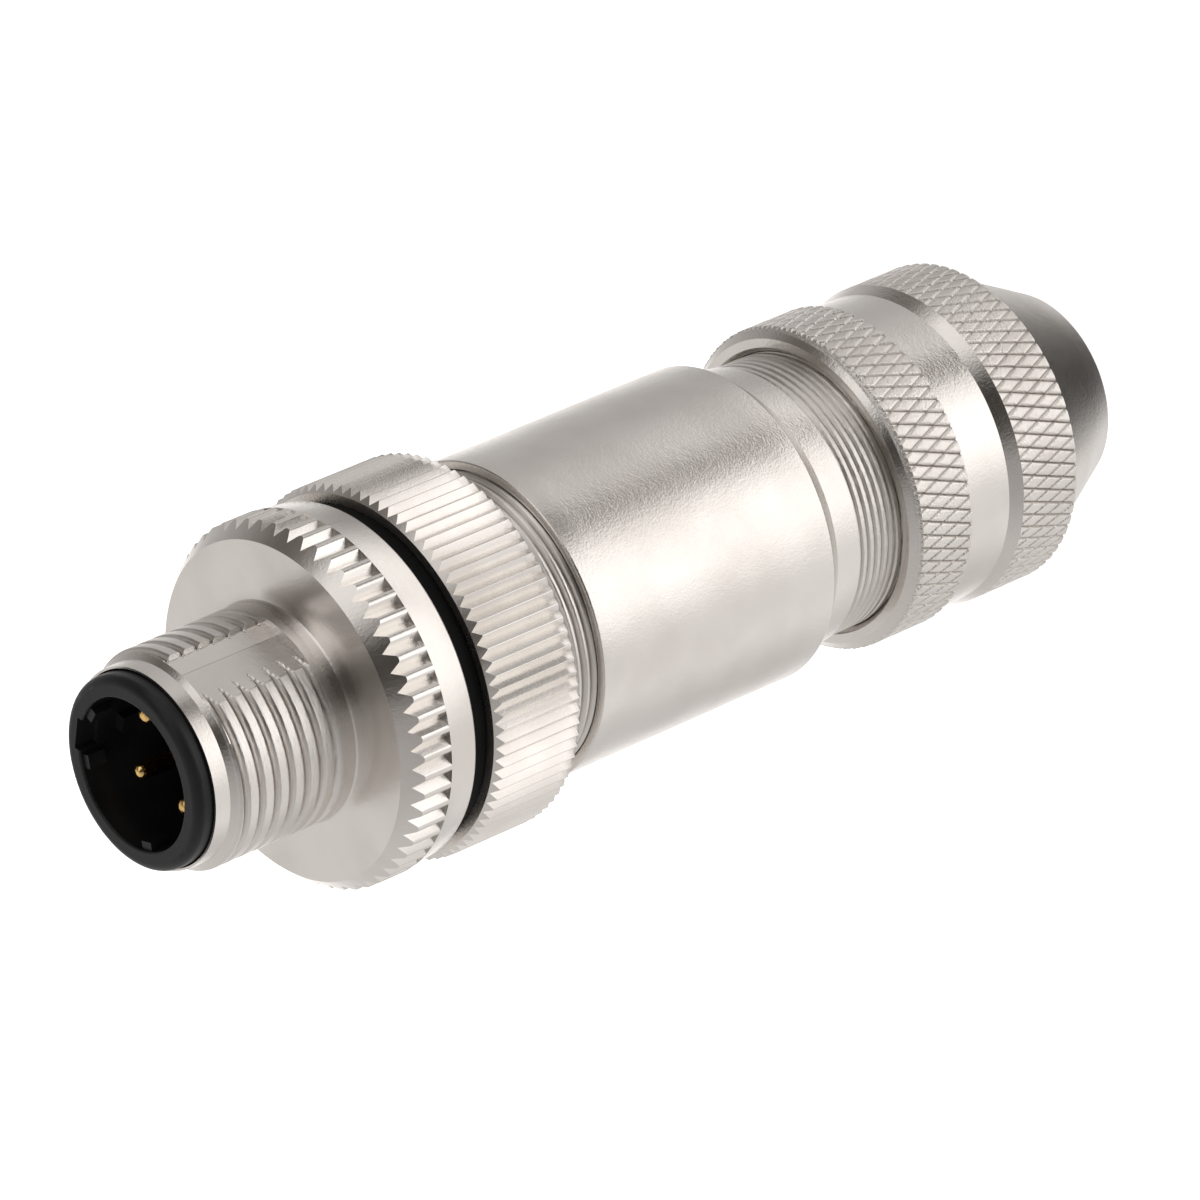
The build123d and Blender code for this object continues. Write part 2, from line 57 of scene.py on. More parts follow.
# %% A socket that can be used in a formula
class Wire:
    """One socket of a node tree; each operator adds a Math node after it."""

    def __init__(self, tree, socket=None):
        self.tree = tree
        self.socket = socket

    def node(self, kind, settings=None, values=None, out=0):
        """Adds a node: first its settings, then the values or links of its inputs."""
        made = self.tree.nodes.new(kind)
        for name, value in (settings or {}).items():
            if name == "stops":
                fill_ramp(made.color_ramp, value)
            else:
                setattr(made, name, value)
        for key, value in (values or {}).items():
            if isinstance(value, Wire):
                self.tree.links.new(value.socket, made.inputs[key])
            else:
                made.inputs[key].default_value = value
        return Wire(self.tree, made.outputs[out]) if len(made.outputs) else made

    def sibling(self, name):
        """Another output of the same node."""
        return Wire(self.tree, self.socket.node.outputs[name])

    def math(self, operation, *others, clamp=False):
        settings = {"operation": operation, "use_clamp": clamp}
        return self.node("ShaderNodeMath", settings, dict(enumerate((self, *others))))

    def __add__(self, other):
        return self.math("ADD", other)

    def __radd__(self, other):
        return self.math("ADD", other)

    def __sub__(self, other):
        return self.math("SUBTRACT", other)

    def __rsub__(self, other):
        return self.node("ShaderNodeMath", {"operation": "SUBTRACT"}, {0: other, 1: self})

    def __mul__(self, other):
        return self.math("MULTIPLY", other)

    def __rmul__(self, other):
        return self.math("MULTIPLY", other)

    def __truediv__(self, other):
        return self.math("DIVIDE", other)

    def __rtruediv__(self, other):
        return self.node("ShaderNodeMath", {"operation": "DIVIDE"}, {0: other, 1: self})

    def __neg__(self):
        return self.math("MULTIPLY", -1)

    def fade(self, low, high):
        """0 below low, 1 above high, smooth between."""
        return self.node(
            "ShaderNodeMapRange", {"interpolation_type": "SMOOTHSTEP"}, {0: self, 1: low, 2: high}
        )


def fill_ramp(ramp, stops):
    """Gives a colour ramp its stops, each a place and a colour."""
    while len(ramp.elements) > 1:
        ramp.elements.remove(ramp.elements[-1])
    for index, (place, colour) in enumerate(stops):
        stop = ramp.elements[0] if index == 0 else ramp.elements.new(place)
        stop.position = place
        stop.color = (*colour, 1) if len(colour) == 3 else colour


# %% [markdown]
# ## Turned blanks
#
# All the metal pieces come off a lathe. A Screw modifier on a drawn outline would make the same
# form, but a knurl needs vertices exactly on its edges and a thread needs many close rings. So
# the outline is written as radius and height in millimetres, each corner may be rounded, each run
# may be divided, and the rings are made at chosen angles.

# %% Outline and lathe
def outline(*points):
    """Rounds and divides a closed outline of (radius, height, rounding, step) points."""
    path = []
    count = len(points)
    for index, point in enumerate(points):
        r, z, rounding, step = (*point, 0, 0)[:4]
        here = Vector((r, z))
        back = (Vector(points[index - 1][:2]) - here).normalized()
        ahead_point = Vector(points[(index + 1) % count][:2])
        ahead = (ahead_point - here).normalized()
        last = here
        if rounding:
            half = back.angle(ahead) / 2
            reach = rounding / tan(half)
            centre = here + (back + ahead).normalized() * (rounding / sin(half))
            start = here + back * reach
            last = here + ahead * reach
            sweep = (start - centre).angle_signed(last - centre)
            for share in (0, 0.2, 0.4, 0.6, 0.8, 1):
                arm = start - centre
                arm.rotate(Matrix.Rotation(-sweep * share, 2))
                path.append(centre + arm)
        else:
            path.append(here)
        if step:
            parts = max(1, round((ahead_point - last).length / step))
            path += [last.lerp(ahead_point, part / parts) for part in range(1, parts)]
    return path


def lathe(name, path, turns):
    """A closed turned mesh; turns are the columns' places as shares of a full turn."""
    rings = len(path)
    columns = len(turns)
    angles = [2 * pi * turn for turn in turns]
    corners = [
        (point.x * MM * cos(angle), point.x * MM * sin(angle), point.y * MM)
        for point in path
        for angle in angles
    ]
    faces = []
    for ring in range(rings):
        after = (ring + 1) % rings
        for column in range(columns):
            beside = (column + 1) % columns
            faces.append(
                (
                    ring * columns + column,
                    ring * columns + beside,
                    after * columns + beside,
                    after * columns + column,
                )
            )
    mesh = bpy.data.meshes.new(name)
    mesh.from_pydata(corners, [], faces)
    piece = bpy.data.objects.new(name, mesh)
    bpy.context.scene.collection.objects.link(piece)
    return piece


def mend(piece, smooth_angle=35):
    """Merges doubles, turns faces outwards and marks sharp edges."""
    work = bmesh.new()
    work.from_mesh(piece.data)
    bmesh.ops.remove_doubles(work, verts=work.verts, dist=1e-7)
    bmesh.ops.recalc_face_normals(work, faces=work.faces)
    work.to_mesh(piece.data)
    work.free()
    piece.data.shade_smooth()
    piece.data.set_sharp_from_angle(angle=radians(smooth_angle))
    triangles = sum(len(face.vertices) - 2 for face in piece.data.polygons)
    print(piece.name, "triangles", triangles)


def even(columns):
    """Evenly spaced columns."""
    return [column / columns for column in range(columns)]


# %% [markdown]
# ## A geometry tree as a cutting tool
#
# A knurling wheel or a threading tool takes a blank and lowers its surface by a rule. In the same
# way each tree here takes a turned blank, works out for every vertex how far it lies from the
# axis, and pulls it in to the radius that the rule gives. The sizes are named inputs, so the same
# tree cuts another piece with other numbers.

# %% Helpers for geometry trees
# How much threads and grips count as worked metal, against 1 at the foot of a straight groove.
CUT_WEAR = 0.3
# Millimetres: a step too small to see, and a wider margin for radii.
HAIR = 0.001
MARGIN = 0.01


def start_tree(name, **sizes):
    """A new geometry tree and the wires of its named inputs."""
    tree = bpy.data.node_groups.new(name, "GeometryNodeTree")
    face = tree.interface
    face.new_socket("Geometry", in_out="INPUT", socket_type="NodeSocketGeometry")
    for size, value in sizes.items():
        kind = "NodeSocketMaterial" if value is None else "NodeSocketFloat"
        socket = face.new_socket(size, in_out="INPUT", socket_type=kind)
        if value is not None:
            socket.default_value = value
    face.new_socket("Geometry", in_out="OUTPUT", socket_type="NodeSocketGeometry")
    entry = tree.nodes.new("NodeGroupInput")
    return Wire(tree), {o.name: Wire(tree, o) for o in entry.outputs if o.name}


def end_tree(start, shape, material):
    """Ends a tree in Realize Instances and Set Material."""
    plain = start.node("GeometryNodeRealizeInstances", None, {0: shape})
    dressed = start.node("GeometryNodeSetMaterial", None, {"Geometry": plain, "Material": material})
    start.node("NodeGroupOutput", None, {0: dressed})


def cylinder_place(start):
    """Each vertex's x and y in metres, radius in mm, share of a turn, and height in mm."""
    position = start.node("GeometryNodeInputPosition")
    x = start.node("ShaderNodeSeparateXYZ", None, {0: position})
    y = x.sibling("Y")
    z = x.sibling("Z")
    radius = (x * x + y * y).math("SQRT") / MM
    turn = y.math("ARCTAN2", x) / (2 * pi)
    return x, y, radius, turn, z / MM


def move_to(start, shape, x, y, radius, new_radius, new_height):
    """Sets each vertex to a new radius and height, at its own angle."""
    scale = new_radius / radius
    coordinates = {0: x * scale, 1: y * scale, 2: new_height * MM}
    place = start.node("ShaderNodeCombineXYZ", None, coordinates)
    return start.node("GeometryNodeSetPosition", None, {"Geometry": shape, "Position": place})


def remember(start, shape, name, share):
    """Stores a share from 0 to 1 on each vertex, and keeps what an earlier cut left if it is more."""
    kept = start.node("GeometryNodeInputNamedAttribute", {"data_type": "FLOAT"}, {"Name": name})
    most = share.math("MAXIMUM", kept, clamp=True)
    return start.node(
        "GeometryNodeStoreNamedAttribute", {"data_type": "FLOAT", "domain": "POINT"},
        {"Geometry": shape, "Name": name, "Value": most},
    )


def cut(piece, tree, **sizes):
    """Runs a piece through a tree, which leaves it with the plain mesh that comes out."""
    modifier = piece.modifiers.new("cut", "NODES")
    modifier.node_group = tree
    for item in tree.interface.items_tree:
        if item.in_out == "INPUT" and item.name in sizes:
            modifier[item.identifier] = sizes[item.name]
    bpy.context.view_layer.update()
    seen = piece.evaluated_get(bpy.context.evaluated_depsgraph_get())
    made = bpy.data.meshes.new_from_object(seen)
    piece.modifiers.clear()
    piece.data = made


# %% [markdown]
# ## The straight knurl
#
# The disc of the coupling screw and the locking ring have V-grooves along the axis. A groove is
# as deep as the knurling wheel went, so on a cone or chamfer it runs out in a point. Cutting each
# groove with a Boolean would work, but leaves ragged faces. Here the rule moves the ring of
# vertices at the foot of the cone to the very line where the groove meets the cone.

# %% Straight knurl tree
# Millimetres above the foot of a groove that the knurling wheel leaves rough.
FOOT_HEIGHT = 0.4
start, size = start_tree(
    "straight_knurl",
    Count=58.0, FirstGroove=0.5, LandRadius=10.1, Depth=0.43, LandShare=0.32, Crown=0.04,
    Low=51.8, ConeLow=53.6, ConeHigh=54.6, FaceRadius=9.3, Material=None,
)
x, y, radius, turn, height = cylinder_place(start)
from_groove = ((turn - size["FirstGroove"] / 360) * size["Count"]).math("PINGPONG", 0.5) * 2
valley = (1 - from_groove / (1 - size["LandShare"])).math("MAXIMUM", 0)
foot = (1 - (height - size["Low"]) / FOOT_HEIGHT).math("MAXIMUM", 0) * valley
from_edge = ((from_groove - 1) / size["LandShare"] + 1).math("MAXIMUM", 0)
crown = (1 - from_edge) * (1 - from_edge) * size["Crown"]
groove_radius = size["LandRadius"] - crown - (size["Depth"] - size["Crown"]) * valley
cone_length = size["ConeHigh"] - size["ConeLow"]
drop = (size["LandRadius"] - groove_radius) / (size["LandRadius"] - size["FaceRadius"])
meeting = size["ConeLow"] + drop * cone_length
stretch = (meeting - size["Low"]) / (size["ConeLow"] - size["Low"])
below_height = size["Low"] + (height - size["Low"]) * stretch
along = (height - size["ConeLow"]) / cone_length
above_height = meeting + along * (size["ConeHigh"] - meeting)
above_radius = groove_radius + along * (size["FaceRadius"] - groove_radius)
on_cone = height.math("GREATER_THAN", size["ConeLow"] + HAIR)
new_radius = on_cone * above_radius + (1 - on_cone) * radius.math("MINIMUM", groove_radius)
new_height = on_cone * above_height + (1 - on_cone) * below_height
above_foot = height.math("GREATER_THAN", size["Low"] + HAIR / 2)
touched = above_foot * radius.math("GREATER_THAN", size["FaceRadius"] - MARGIN)
new_radius = touched * new_radius + (1 - touched) * radius
new_height = touched * new_height + (1 - touched) * height
shape = remember(start, size["Geometry"], "worked", touched * foot)
shape = move_to(start, shape, x, y, radius, new_radius, new_height)
end_tree(start, shape, size["Material"])
straight_knurl = start.tree
print("straight knurl nodes", len(straight_knurl.nodes))


def knurl_columns(count, first, land_share, crown_columns=()):
    """Columns at each groove's bottom, just beside each edge of its land and on the land's crown."""
    edge = (1 - land_share) / 2
    ease = 0.018
    shares = [0, edge - ease, edge + ease, *crown_columns, 1 - edge - ease, 1 - edge + ease]
    return [first / 360 + (tooth + share) / count for tooth in range(count) for share in shares]


# %% [markdown]
# ## The diamond knurl
#
# The nut's two grips carry crossed grooves, left-hand and right-hand helices that leave pointed
# diamonds. One could repeat a small diamond over the cylinder, but its halves at the band's ends
# would need trimming. The rule is simpler: two slanted families of grooves, and the deeper wins.
# The left-hand wheel pressed less than the right-hand one, and each groove curves gently into
# the diamonds beside it. The blank's rows and columns are spaced so that the bottom line of
# every groove runs through vertices.

# %% Diamond knurl tree
# A power above 1 makes a groove sharp at its bottom and gentle at its edges.
GROOVE_POWER = 1.6
start, size = start_tree(
    "diamond_knurl",
    Count=72.0, LandRadius=9.1, Depth=0.15, Dome=0.03, GrooveShare=0.15, LeftShare=0.6,
    DiamondHeight=2.1, Low=6.1, High=10.1, Material=None,
)
x, y, radius, turn, height = cylinder_place(start)
round_count = turn * size["Count"]
rise = (height - size["Low"]) / size["DiamondHeight"]
from_right = (round_count - rise).math("PINGPONG", 0.5)
from_left = (round_count + rise).math("PINGPONG", 0.5)
right_hand = (1 - from_right / size["GrooveShare"]).math("MAXIMUM", 0)
right_hand = right_hand.math("POWER", GROOVE_POWER)
left_hand = (1 - from_left / size["GrooveShare"]).math("MAXIMUM", 0)
left_hand = left_hand.math("POWER", GROOVE_POWER) * size["LeftShare"]
valley = right_hand.math("MAXIMUM", left_hand)
slope = 1 - from_right.math("MINIMUM", from_left) * 2
dome = slope * slope * size["Dome"]
cut_radius = radius.math("MINIMUM", size["LandRadius"] - dome - size["Depth"] * valley)
inside = height.math("GREATER_THAN", size["Low"] - HAIR)
inside = inside * height.math("LESS_THAN", size["High"] + HAIR)
outside = radius.math("GREATER_THAN", size["LandRadius"] - size["Depth"])
new_radius = inside * cut_radius + (1 - inside) * radius
# The grooves are kept as valley, for painted shade in the plating.
shape = remember(start, size["Geometry"], "valley", valley * inside * outside)
shape = remember(start, shape, "worked", inside * outside * CUT_WEAR)
shape = move_to(start, shape, x, y, radius, new_radius, height)
end_tree(start, shape, size["Material"])
diamond_knurl = start.tree
print("diamond knurl nodes", len(diamond_knurl.nodes))

# %% [markdown]
# ## Threads
#
# A thread is one groove that climbs by its pitch each turn. A bent profile swept along a helix
# gives long thin faces and awkward ends. Lowering the blank by a wave of height and angle gives
# the same form, and a few more rules finish it as a lathe and a mill do: the groove fades in at
# its foot, a chamfer leads it in, and a flat milled along the barrel cuts the crests to points.

# %% Thread tree
# Degrees either side of the fold between the two facets of the flat, where a thin dark line of shade
# is painted.
CREASE_REACH = 0.6
# A radius in millimetres that no flat reaches, for where there is none.
FAR_OUT = 1000
start, size = start_tree(
    "screw_thread",
    OuterRadius=6.0, Pitch=1.0, StartTurn=0.0, Depth=0.5, RootSharpness=1.6, InnerLimit=5.45,
    Low=54.7, High=63.6, FadeIn=0.5, FadeOut=0.0,
    FlatLow=200.0, CreaseAngle=-50.0, FlatStart=-40.0, FlatEnd=12.0,
    Facet1=5.5, Facing1=0.0, Facet2=5.5, Facing2=0.0, Material=None,
)
x, y, radius, turn, height = cylinder_place(start)
climb = height / size["Pitch"] - turn - size["StartTurn"]
wave = 0.5 + 0.5 * (climb * (2 * pi)).math("COSINE")
wave = wave.math("POWER", size["RootSharpness"])
fade_in = (height - size["Low"]) / size["FadeIn"]
fade_in = fade_in.math("MAXIMUM", 0).math("MINIMUM", 1)
fade_out = (size["High"] - height) / (size["FadeOut"] + HAIR)
fade_out = fade_out.math("MAXIMUM", 0).math("MINIMUM", 1)
thread_radius = size["OuterRadius"] - size["Depth"] * wave * fade_in * fade_out
from_crease = turn * 360 - size["CreaseAngle"]
near_flat = from_crease.math("GREATER_THAN", size["FlatStart"])
near_flat = near_flat * from_crease.math("LESS_THAN", size["FlatEnd"])
near_flat = near_flat * height.math("GREATER_THAN", size["FlatLow"])
crease = near_flat * (1 - from_crease.math("ABSOLUTE") / CREASE_REACH)
facet1 = size["Facet1"] / ((from_crease - size["Facing1"]) * (pi / 180)).math("COSINE")
facet2 = size["Facet2"] / ((from_crease - size["Facing2"]) * (pi / 180)).math("COSINE")
flat_radius = facet1.math("MAXIMUM", facet2)
flat_radius = near_flat * flat_radius + (1 - near_flat) * FAR_OUT
cut_radius = radius.math("MINIMUM", thread_radius).math("MINIMUM", flat_radius)
outside = radius.math("GREATER_THAN", size["InnerLimit"])
outside = outside * radius.math("LESS_THAN", size["OuterRadius"] + MARGIN)
inside = height.math("GREATER_THAN", size["Low"])
inside = inside * height.math("LESS_THAN", size["High"] + HAIR)
touched = outside * inside
new_radius = touched * cut_radius + (1 - touched) * radius
on_thread = touched * thread_radius.math("LESS_THAN", flat_radius)
root = on_thread * wave * fade_in * fade_out
# The roots of the thread and the fold of the flat are kept as valley, for painted shade in the
# plating.
shape = remember(start, size["Geometry"], "valley", root.math("MAXIMUM", touched * crease))
shape = remember(start, shape, "worked", on_thread * CUT_WEAR)
shape = move_to(start, shape, x, y, radius, new_radius, height)
end_tree(start, shape, size["Material"])
screw_thread = start.tree
print("thread nodes", len(screw_thread.nodes))

# %% [markdown]
# ## Nickel plate
#
# Nickel over turned brass is a warm, slightly yellow silver. It is metal all over, so its looks
# come from how evenly it mirrors: a fine grain from the blasted surface breaks up the edges of
# reflections and broad patches are a little duller. Shade is painted dark into the roots of the
# grooves and along the fold of the milled flat. The grain, patches and tears are made from noise
# on Object coordinates, so they stay put on the piece.

# %% Material helpers
def new_material(name):
    """An empty node material, its first wire and its object coordinates."""
    material = bpy.data.materials.new(name)
    material.use_nodes = True
    material.node_tree.nodes.clear()
    start = Wire(material.node_tree)
    return material, start, start.node("ShaderNodeTexCoord", None, None, "Object")


def noise(where, grain_mm, detail=2, roughness=0.5):
    """Smooth noise with features of about that many millimetres."""
    scale = 1 / (grain_mm * MM)
    values = {"Vector": where, "Scale": scale, "Detail": detail, "Roughness": roughness}
    return where.node("ShaderNodeTexNoise", None, values)


def blend_colour(share, low, high):
    """A colour between two, by a share."""
    return share.node("ShaderNodeMix", {"data_type": "RGBA"}, {0: share, 6: low, 7: high}, 2)


def relief(height, size_mm, strength=1.0):
    """A bump that turns a height into a change of normal."""
    values = {"Height": height, "Strength": strength, "Distance": size_mm * MM}
    return height.node("ShaderNodeBump", None, values)


def finish_material(start, values):
    """Adds the surface shader and the output."""
    shader = start.node("ShaderNodeBsdfPrincipled", None, values, "BSDF")
    start.node("ShaderNodeOutputMaterial", None, {"Surface": shader})


# %% Nickel plate
BRIGHT = (0.81, 0.785, 0.755, 1)
DULL = (0.71, 0.68, 0.645, 1)
# Colour of the shade painted into groove roots and along the fold of the flat.
GROOVE_SHADE = (0.20, 0.17, 0.145, 1)
PATCH_MM = 5.0
TEAR_MM = 0.14
COARSER = 3.5
WORKED_ROUGHNESS = 0.3


def nickel_plate(name, smooth, rough, grain_mm, grain_depth, groove_shade=0.6, torn=7.3, squeeze=0.22):
    """Plated metal with grain, broad patches, painted shade in the grooves and torn, rougher cuts.

    Torn is how high the tears stand against the grain. A squeeze below 1 draws them out around
    the axis, as a cutting tool does.
    """
    material, start, where = new_material(name)
    valley = start.node("ShaderNodeAttribute", {"attribute_name": "valley"}, None, "Fac")
    worked = start.node("ShaderNodeAttribute", {"attribute_name": "worked"}, None, "Fac")
    fine = noise(where, grain_mm, 3, 0.6)
    coarse = noise(where, grain_mm * COARSER)
    patches = noise(where, PATCH_MM).fade(0.35, 0.7)
    grain = fine * 0.6 + coarse * 0.4
    squeezed = {0: where, 1: (squeeze, squeeze, 1)}
    along = where.node("ShaderNodeVectorMath", {"operation": "MULTIPLY"}, squeezed)
    tears = noise(along, TEAR_MM, 3, 0.65)
    height = grain + worked * tears * torn
    clean = blend_colour(patches * 0.6 + grain * 0.4, BRIGHT, DULL)
    # Painted shade: the roots of grooves and the fold of the flat darken towards the shade colour.
    painted_groove_shade = valley.fade(0.5, 1.0)
    unevenness = patches * 0.35 + grain * 0.65
    values = {
        "Base Color": blend_colour(painted_groove_shade * groove_shade, clean, GROOVE_SHADE),
        "Metallic": 1.0,
        "Roughness": smooth + (rough - smooth) * unevenness + worked * WORKED_ROUGHNESS,
        "Normal": relief(height, grain_depth),
    }
    finish_material(start, values)
    return material


satin_nickel = nickel_plate(
    "satin_nickel", smooth=0.15, rough=0.31, grain_mm=0.13, grain_depth=0.026, groove_shade=0.4, torn=5.0,
)
ring_nickel = nickel_plate("ring_nickel", smooth=0.20, rough=0.34, grain_mm=0.12, grain_depth=0.010)
bright_nickel = nickel_plate(
    "bright_nickel", smooth=0.17, rough=0.30, grain_mm=0.14, grain_depth=0.012,
)
grip_nickel = nickel_plate(
    "grip_nickel", smooth=0.14, rough=0.28, grain_mm=0.14, grain_depth=0.020, groove_shade=0.5, torn=4.5,
    squeeze=1.0,
)
print("nickel finishes", [m.name for m in bpy.data.materials if "nickel" in m.name])

# %% [markdown]
# ## The coupling screw
#
# One turned piece: a barrel with a coarse outer thread and a milled flat, and a disc whose rim is
# knurled for the fingers. The blank has a ring of vertices every sixteenth of a millimetre along
# the barrel. Its columns lie at the bottom and beside the edges of each groove of the knurl, with
# more where the flat is. Two trees cut it in turn.

# %% The flat on the barrel
def facet(crease_r, far_r, far_angle):
    """Distance and facing of a flat that runs from the crease to a point on the barrel."""
    a = Vector((crease_r, 0))
    b = Vector((far_r * cos(radians(far_angle)), far_r * sin(radians(far_angle))))
    normal = Vector((b.y - a.y, a.x - b.x)).normalized()
    normal *= 1 if normal.dot(a) > 0 else -1
    return normal.dot(a), degrees(atan2(normal.y, normal.x))


BARREL_R = 6.0
FLAT_R = 5.5
CREASE_ANGLE = -49.0
WIDE_END = -29.0
NARROW_END = 12.0
wide_flat = facet(FLAT_R, BARREL_R, WIDE_END)
narrow_flat = facet(FLAT_R, 5.66, NARROW_END)
print("facets, distance and facing", wide_flat, narrow_flat)

# %% Coupling screw
BORE_R = 5.38
CLIP_GROOVE_R = 6.3
DISC_R = 10.1
DISC_FACE_R = 9.3
DISC_LOW = 49.9
DISC_KNURL_LOW = 51.8
DISC_CONE_LOW = 53.6
DISC_HIGH = 54.6
FLAT_LOW = 55.8
LEAD_IN = 62.2
BARREL_HIGH = 63.6
DISC_GROOVES = 58
DISC_FIRST_GROOVE = 0.5
DISC_LAND = 0.32
path = outline(
    (5.58, DISC_LOW), (9.85, DISC_LOW, 0.2), (DISC_R - 0.02, DISC_KNURL_LOW),
    (DISC_R, DISC_KNURL_LOW + HAIR, 0, 0.3), (DISC_R, DISC_CONE_LOW, 0, 0.1),
    (DISC_FACE_R, DISC_HIGH, 0, 0.4), (6.25, DISC_HIGH), (6.08, 54.63), (BARREL_R, 54.72, 0, 0.2),
    (BARREL_R, FLAT_LOW - HAIR), (BARREL_R, FLAT_LOW + HAIR, 0, 1 / 16), (BARREL_R, LEAD_IN, 0, 0.1),
    (5.56, 62.7), (FLAT_R, BARREL_HIGH), (BORE_R, BARREL_HIGH), (BORE_R, 52.15),
    (CLIP_GROOVE_R, 52.15), (CLIP_GROOVE_R, 51.05), (BORE_R, 51.05), (BORE_R, 50.1),
)
disc_columns = knurl_columns(DISC_GROOVES, DISC_FIRST_GROOVE, DISC_LAND, (0.42, 0.5, 0.58))
flat_columns = [(360 + CREASE_ANGLE + half_degree / 2) / 360 for half_degree in range(-62, 30)]
coupling = lathe("coupling_screw_plated", path, sorted(disc_columns + flat_columns))
cut(
    coupling, straight_knurl, Count=float(DISC_GROOVES), FirstGroove=DISC_FIRST_GROOVE,
    LandRadius=DISC_R, Depth=0.43, LandShare=DISC_LAND, Crown=0.04, Low=DISC_KNURL_LOW,
    ConeLow=DISC_CONE_LOW, ConeHigh=DISC_HIGH, FaceRadius=DISC_FACE_R, Material=bright_nickel,
)
cut(
    coupling, screw_thread, OuterRadius=BARREL_R, Pitch=1.0, StartTurn=0.3, Depth=0.34,
    RootSharpness=6.5, InnerLimit=5.45, Low=55.3, High=62.4, FadeIn=0.9, FadeOut=0.0,
    FlatLow=FLAT_LOW, CreaseAngle=CREASE_ANGLE, FlatStart=WIDE_END - 1, FlatEnd=NARROW_END,
    Facet1=wide_flat[0], Facing1=wide_flat[1], Facet2=narrow_flat[0], Facing2=narrow_flat[1],
    Material=bright_nickel,
)
mend(coupling)
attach(coupling, "coupling")
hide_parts("coupling_screw")

# %% [markdown]
# ## The locking ring
#
# The second ring has many shallow grooves that leave only narrow ridges, and below it shows a
# short stretch of the fine thread on its neck. It uses the same two trees with other numbers.

# %% Locking ring
RING_R = 10.3
RING_FACE_R = 9.9
RING_LOW = 43.1
RING_BEVEL_LOW = 48.4
RING_HIGH = 48.8
NECK_R = 8.4
NECK_BORE_R = 7.5
NECK_LOW = 37.3
NECK_THREAD_LOW = 37.6
RING_GROOVES = 88
RING_FIRST_GROOVE = 3.35
RING_LAND = 0.08
path = outline(
    (NECK_R, RING_LOW), (RING_R - 0.15, RING_LOW), (RING_R, 43.25, 0, 0.5),
    (RING_R, RING_BEVEL_LOW, 0, 0.1), (RING_FACE_R, RING_HIGH), (6.58, RING_HIGH), (6.58, 47.0),
    (NECK_BORE_R, 47.0), (NECK_BORE_R, NECK_LOW), (8.1, NECK_LOW),
    (NECK_R, NECK_THREAD_LOW, 0, 0.045),
)
ring_columns = knurl_columns(RING_GROOVES, RING_FIRST_GROOVE, RING_LAND)
ring = lathe("locking_ring_plated", path, ring_columns)
cut(
    ring, straight_knurl, Count=float(RING_GROOVES), FirstGroove=RING_FIRST_GROOVE,
    LandRadius=RING_R, Depth=0.33, LandShare=RING_LAND, Crown=0.01, Low=RING_LOW - MARGIN,
    ConeLow=RING_BEVEL_LOW, ConeHigh=RING_HIGH, FaceRadius=RING_FACE_R, Material=ring_nickel,
)
cut(
    ring, screw_thread, OuterRadius=NECK_R, Pitch=0.6, Depth=0.24, RootSharpness=2.0,
    InnerLimit=8.0, Low=NECK_THREAD_LOW, High=RING_LOW, FadeIn=0.4, FadeOut=0.25,
    Material=ring_nickel,
)
mend(ring)
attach(ring, "locking")
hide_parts("locking_ring")

# %% [markdown]
# ## The housing sleeve
#
# The long smooth sleeve is the largest surface of all. Its form is plain: a soft edge in front, a
# cone at the rear shoulder, a bright collar and the fine thread for the clamp nut.

# %% Housing sleeve
SLEEVE_R = 8.9
SLEEVE_BORE_R = 7.6
SOCKET_R = 8.45
SLEEVE_HIGH = 40.3
TAIL_BORE_R = 6.9
TAIL_LOW = 13.2
REAR_THREAD_R = 7.8
REAR_THREAD_LOW = 13.6
COLLAR_LOW = 21.1
SLEEVE_COLUMNS = 256
path = outline(
    (TAIL_BORE_R, TAIL_LOW), (7.4, TAIL_LOW), (REAR_THREAD_R, REAR_THREAD_LOW, 0, 0.042),
    (REAR_THREAD_R, COLLAR_LOW), (7.94, 21.15), (8.0, 22.8), (SLEEVE_R, 23.9, 0.15, 1.5),
    (SLEEVE_R, SLEEVE_HIGH, 0.12), (SOCKET_R, SLEEVE_HIGH), (SOCKET_R, 34.3),
    (SLEEVE_BORE_R, 34.3), (SLEEVE_BORE_R, 24.0), (TAIL_BORE_R, 24.0),
)
sleeve = lathe("housing_sleeve_plated", path, even(SLEEVE_COLUMNS))
cut(
    sleeve, screw_thread, OuterRadius=REAR_THREAD_R, Pitch=0.5, Depth=0.15, RootSharpness=4.5,
    InnerLimit=7.45, Low=REAR_THREAD_LOW, High=COLLAR_LOW, FadeIn=0.4, FadeOut=0.3,
    Material=satin_nickel,
)
mend(sleeve, smooth_angle=14)
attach(sleeve, "sleeve")
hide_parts("housing_sleeve")

# %% [markdown]
# ## The clamp nut
#
# Two knurled grips with a smooth waist between them, and a cone down to the cable hole. In the
# knurled bands the rows lie a tenth of a diamond apart, and each small face is split at its
# middle, so that both families of slanted grooves can run along edges of the mesh.

